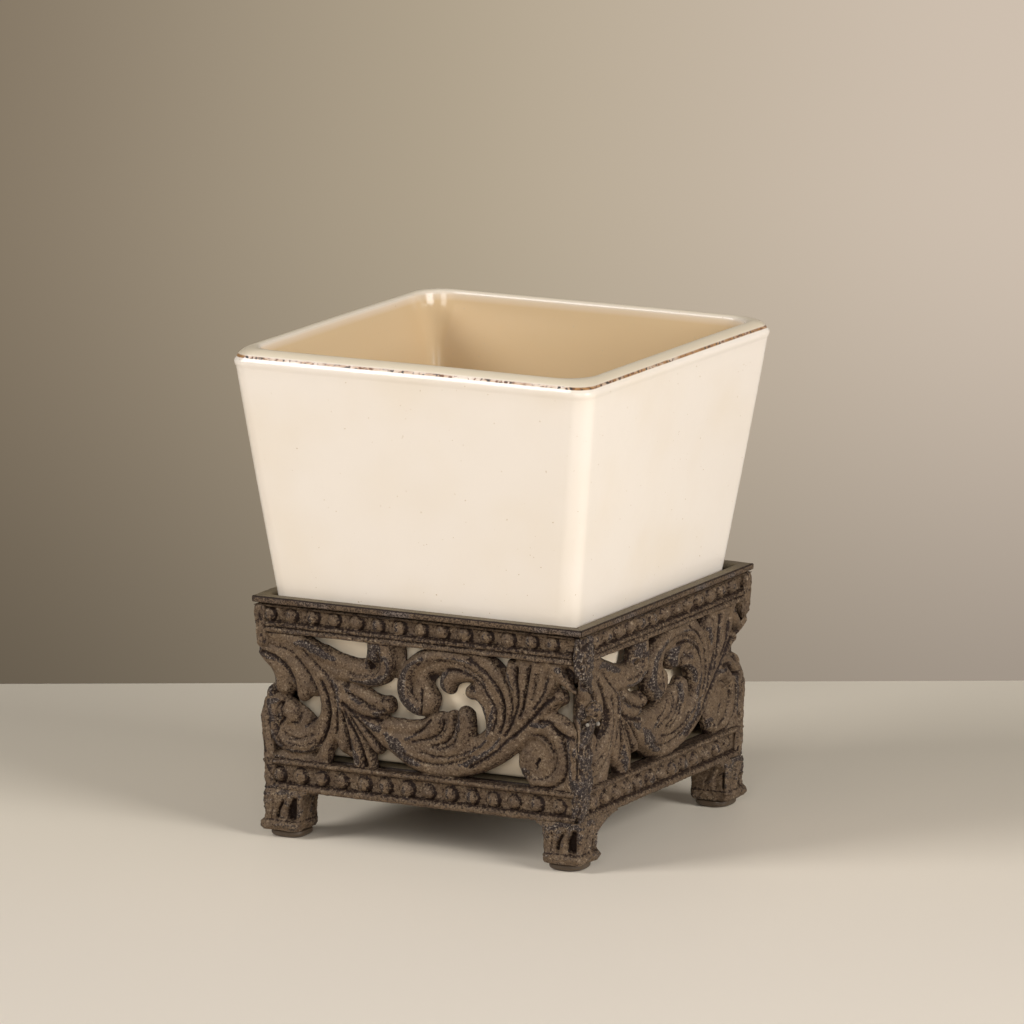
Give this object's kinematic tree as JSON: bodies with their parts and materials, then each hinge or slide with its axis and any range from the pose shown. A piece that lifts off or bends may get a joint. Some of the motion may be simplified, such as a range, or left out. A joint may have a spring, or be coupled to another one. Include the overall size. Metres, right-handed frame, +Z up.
{
  "type": "pen holder",
  "caption": "Square tapered ceramic cup for pens, standing loose in a low cast metal stand with openwork scroll sides, beaded rails, a flat bar frame and short corner feet.",
  "frame": {"origin": "on the table, under the middle of the holder", "axes": "+Z up, -Y out of the front panel, +X out of the right-hand panel"},
  "size_m": [0.1084, 0.1084, 0.133],
  "materials": {
    "glazed_ceramic": "glossy",
    "cast_metal": "matte patina",
    "bar_metal": "satin patina",
    "weld_metal": "rough",
    "pad_rubber": "satin"
  },
  "bodies": {
    "stand": {"panel_front": "cast_metal", "top_bar_front": "bar_metal", "ledge_bar_front": "bar_metal", "panel_right": "cast_metal", "top_bar_right": "bar_metal", "ledge_bar_right": "bar_metal", "panel_back": "cast_metal", "top_bar_back": "bar_metal", "ledge_bar_back": "bar_metal", "panel_left": "cast_metal", "top_bar_left": "bar_metal", "ledge_bar_left": "bar_metal", "foot_front_right": "cast_metal", "pad_front_right": "pad_rubber", "lower_weld_front_right": "weld_metal", "upper_weld_front_right": "weld_metal", "foot_back_right": "cast_metal", "pad_back_right": "pad_rubber", "lower_weld_back_right": "weld_metal", "upper_weld_back_right": "weld_metal", "foot_back_left": "cast_metal", "pad_back_left": "pad_rubber", "lower_weld_back_left": "weld_metal", "upper_weld_back_left": "weld_metal", "foot_front_left": "cast_metal", "pad_front_left": "pad_rubber", "lower_weld_front_left": "weld_metal", "upper_weld_front_left": "weld_metal"},
    "cup": {"ceramic_cup": "glazed_ceramic"}
  },
  "joints": [
    {"name": "cup_lift", "type": "slide", "parent": "stand", "child": "cup", "axis": [0, 0, 1], "range_m": [0, 0.06]}
  ]
}
